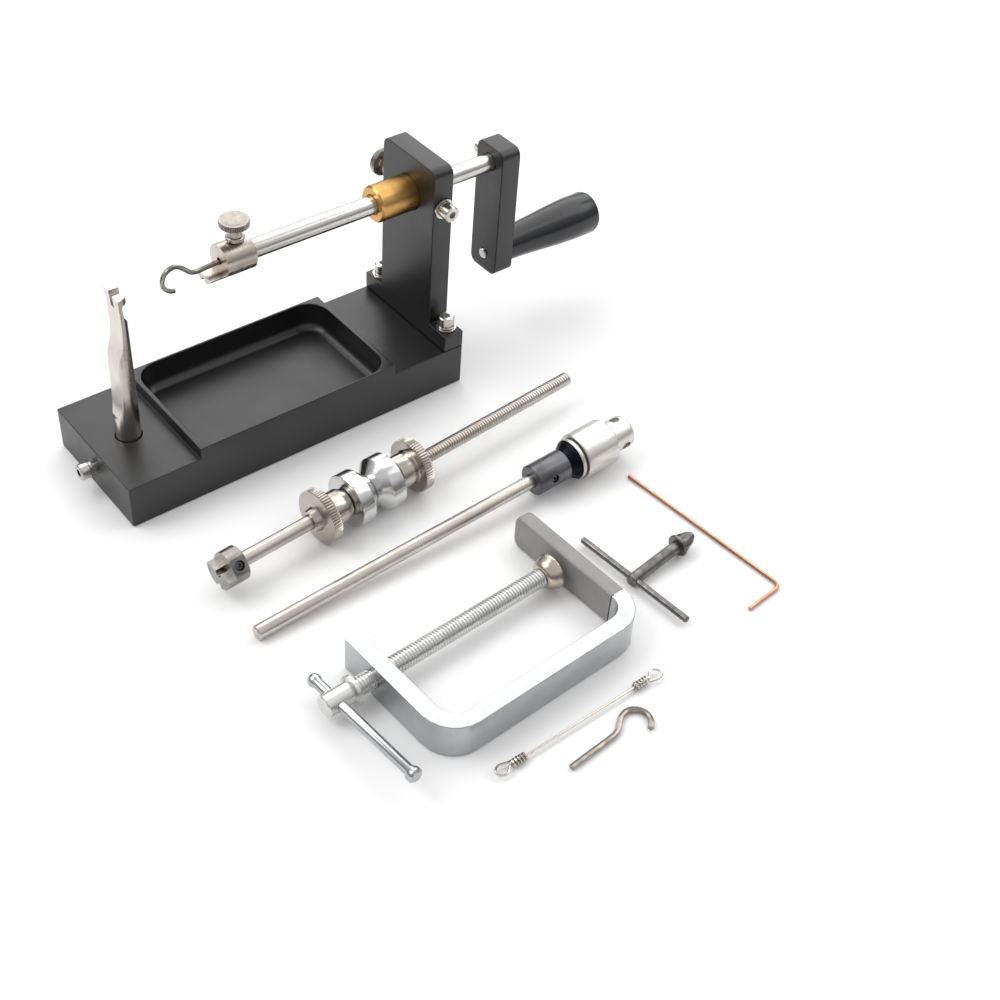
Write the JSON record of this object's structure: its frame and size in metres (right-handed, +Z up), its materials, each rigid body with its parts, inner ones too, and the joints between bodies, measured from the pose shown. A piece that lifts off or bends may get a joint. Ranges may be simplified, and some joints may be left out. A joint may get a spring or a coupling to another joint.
{
  "type": "fly tying station",
  "caption": "Hand-cranked fly tying station: tray base, upright, hooked spindle and line post, with loose mandrel, chuck, clamp, keys, wire sample and spare hook.",
  "frame": {"origin": "centre of the base's underside, at the height of the table", "axes": "+X from the line post to the crank, +Y to the back, +Z up"},
  "size_m": [0.2693, 0.2579, 0.1043],
  "materials": {
    "anodised": "fine satin dark grey anodised finish",
    "handle_black": "smooth satin black",
    "brass": "turned brass with faint tool lines",
    "screw_steel": "bright zinc plated",
    "spindle_steel": "ground and polished",
    "holder_steel": "turned and plated, smooth",
    "hook_steel": "smooth plated wire",
    "post_steel": "ground, satin",
    "knurled_steel": "straight knurled, nickel plated",
    "collar_steel": "dark satin with bright edges",
    "black_oxide": "black oxide, satin",
    "shaft_steel": "bright plated",
    "nut_steel": "straight knurled, bright plated",
    "cone_chrome": "polished chrome plate",
    "chuck_steel": "brushed round the axis",
    "clamp_steel": "bright plated with light scuffs",
    "clamp_thread": "bright plated thread",
    "pad_nickel": "warm nickel plate, satin",
    "cap_grey": "soft grey plastic, satin",
    "key_steel": "dark forged steel, satin",
    "copper": "warm copper coloured plating, satin",
    "wire_steel": "smooth stainless wire"
  },
  "bodies": {
    "station": {"base": "anodised", "upright": "anodised", "ear_screw_front": "screw_steel", "ear_screw_back": "screw_steel", "ear_washer_front": "screw_steel", "ear_washer_back": "screw_steel", "ear_spring_washer_front": "screw_steel", "ear_spring_washer_back": "screw_steel", "bush": "brass", "bush_screw": "screw_steel", "bush_screw_washer": "screw_steel", "bush_screw_spring_washer": "screw_steel"},
    "spindle_group": {"spindle": "spindle_steel", "hook_holder": "holder_steel", "hook": "hook_steel", "crank_arm": "anodised", "arm_screw": "screw_steel", "handle_bolt": "screw_steel"},
    "crank_handle": {"handle": "handle_black"},
    "hook_lock": {"hook_thumbscrew": "knurled_steel"},
    "spindle_brake": {"brake_thumbscrew": "knurled_steel"},
    "post": {"line_post": "post_steel"},
    "post_lock": {"post_screw": "screw_steel", "post_screw_washer": "screw_steel"},
    "mandrel": {"mandrel_rod": "shaft_steel", "mandrel_collar": "collar_steel", "collar_set_screw": "black_oxide"},
    "cone_in": {"inner_cone": "cone_chrome"},
    "nut_in": {"inner_nut": "nut_steel"},
    "cone_out": {"outer_cone": "cone_chrome"},
    "nut_out": {"outer_nut": "nut_steel"},
    "chuck": {"chuck_rod": "shaft_steel", "chuck_coupling": "black_oxide", "coupling_set_screw": "black_oxide", "chuck_body": "chuck_steel"},
    "sleeve": {"chuck_sleeve": "chuck_steel"},
    "jaw_a": {"chuck_jaw_a": "chuck_steel"},
    "jaw_b": {"chuck_jaw_b": "chuck_steel"},
    "jaw_c": {"chuck_jaw_c": "chuck_steel"},
    "clamp": {"clamp_frame": "clamp_steel", "jaw_cap": "cap_grey"},
    "pad": {"clamp_pad": "pad_nickel"},
    "screw": {"clamp_screw": "clamp_thread"},
    "bar": {"tommy_bar": "clamp_steel"},
    "key": {"chuck_key": "key_steel"},
    "key_bar": {"chuck_key_bar": "key_steel"},
    "hex_wrench": {"hex_key": "copper"},
    "wire": {"wire_sample": "wire_steel"},
    "loose_hook": {"spare_hook": "hook_steel"}
  },
  "joints": [
    {"name": "spindle_turn", "type": "hinge", "parent": "station", "child": "spindle_group", "pos_m": [-0.0084, 0, 0.0863], "axis": [1, 0, 0], "continuous": true},
    {"name": "handle_turn", "type": "hinge", "parent": "spindle_group", "child": "crank_handle", "pos_m": [0.1268, 0, 0.0388], "axis": [1, 0, 0], "continuous": true},
    {"name": "hook_lock_turn", "type": "hinge", "parent": "spindle_group", "child": "hook_lock", "pos_m": [-0.0113, 0, 0.0935], "axis": [0, 0, 1], "range_deg": [-30, 720]},
    {"name": "brake_turn", "type": "hinge", "parent": "station", "child": "spindle_brake", "pos_m": [0.0775, 0.0182, 0.0863], "axis": [0, 1, 0], "range_deg": [-30, 720]},
    {"name": "post_raise", "type": "slide", "parent": "station", "child": "post", "axis": [0, 0, 1], "range_m": [0, 0.014]},
    {"name": "post_lock_turn", "type": "hinge", "parent": "station", "child": "post_lock", "pos_m": [-0.0855, 0, 0.0103], "axis": [-1, 0, 0], "range_deg": [-30, 720]},
    {"name": "mandrel_lift", "type": "slide", "parent": "station", "child": "mandrel", "axis": [0, 0, 1], "range_m": [0, 0.04]},
    {"name": "cone_in_travel", "type": "slide", "parent": "mandrel", "child": "cone_in", "axis": [0.9971, 0.0762, 0], "range_m": [-0.0301, 0]},
    {"name": "nut_in_turn", "type": "hinge", "parent": "cone_in", "child": "nut_in", "pos_m": [-0.02684, -0.0775, 0.0119], "axis": [0.9971, 0.0762, 0], "range_deg": [-8100, 0]},
    {"name": "cone_out_travel", "type": "slide", "parent": "mandrel", "child": "cone_out", "axis": [0.9971, 0.0762, 0], "range_m": [0, 0.0701]},
    {"name": "nut_out_turn", "type": "hinge", "parent": "cone_out", "child": "nut_out", "pos_m": [0.02521, -0.07353, 0.0119], "axis": [0.9971, 0.0762, 0], "range_deg": [0, 18900]},
    {"name": "chuck_lift", "type": "slide", "parent": "station", "child": "chuck", "axis": [0, 0, 1], "range_m": [0, 0.04]},
    {"name": "sleeve_turn", "type": "hinge", "parent": "chuck", "child": "sleeve", "pos_m": [0.08284, -0.10718, 0.01011], "axis": [0.999, 0.0052, 0.0452], "range_deg": [0, 1080]},
    {"name": "jaw_a_travel", "type": "slide", "parent": "chuck", "child": "jaw_a", "axis": [0.999, 0.0052, 0.0452], "range_m": [-0.00605, 0]},
    {"name": "jaw_b_travel", "type": "slide", "parent": "chuck", "child": "jaw_b", "axis": [0.999, 0.0052, 0.0452], "range_m": [-0.00605, 0]},
    {"name": "jaw_c_travel", "type": "slide", "parent": "chuck", "child": "jaw_c", "axis": [0.999, 0.0052, 0.0452], "range_m": [-0.00605, 0]},
    {"name": "clamp_lift", "type": "slide", "parent": "station", "child": "clamp", "axis": [0, 0, 1], "range_m": [0, 0.04]},
    {"name": "pad_travel", "type": "slide", "parent": "clamp", "child": "pad", "axis": [0.9992, 0.0401, 0], "range_m": [-0.0591, 0.0033]},
    {"name": "screw_turn", "type": "hinge", "parent": "pad", "child": "screw", "pos_m": [-0.07588, -0.15504, 0.008], "axis": [0.9992, 0.0401, 0], "range_deg": [-15930, 864]},
    {"name": "bar_slide", "type": "slide", "parent": "screw", "child": "bar", "axis": [-0.04, 0.9961, -0.0785], "range_m": [-0.0055, 0.027]},
    {"name": "key_lift", "type": "slide", "parent": "station", "child": "key", "axis": [0, 0, 1], "range_m": [0, 0.04]},
    {"name": "key_bar_slide", "type": "slide", "parent": "key", "child": "key_bar", "axis": [-0.0802, 0.9968, 0], "range_m": [-0.02, 0.02]},
    {"name": "hex_wrench_lift", "type": "slide", "parent": "station", "child": "hex_wrench", "axis": [0, 0, 1], "range_m": [0, 0.04]},
    {"name": "wire_lift", "type": "slide", "parent": "station", "child": "wire", "axis": [0, 0, 1], "range_m": [0, 0.04]},
    {"name": "loose_hook_lift", "type": "slide", "parent": "station", "child": "loose_hook", "axis": [0, 0, 1], "range_m": [0, 0.04]}
  ],
  "couplings": [
    {"joint": "cone_in_travel", "follows": "nut_in_turn", "m_per_rad": 0.00021221},
    {"joint": "cone_out_travel", "follows": "nut_out_turn", "m_per_rad": 0.00021221},
    {"joint": "pad_travel", "follows": "screw_turn", "m_per_rad": 0.00021221},
    {"joint": "jaw_a_travel", "follows": "sleeve_turn", "m_per_rad": -0.00031831},
    {"joint": "jaw_b_travel", "follows": "sleeve_turn", "m_per_rad": -0.00031831},
    {"joint": "jaw_c_travel", "follows": "sleeve_turn", "m_per_rad": -0.00031831}
  ]
}
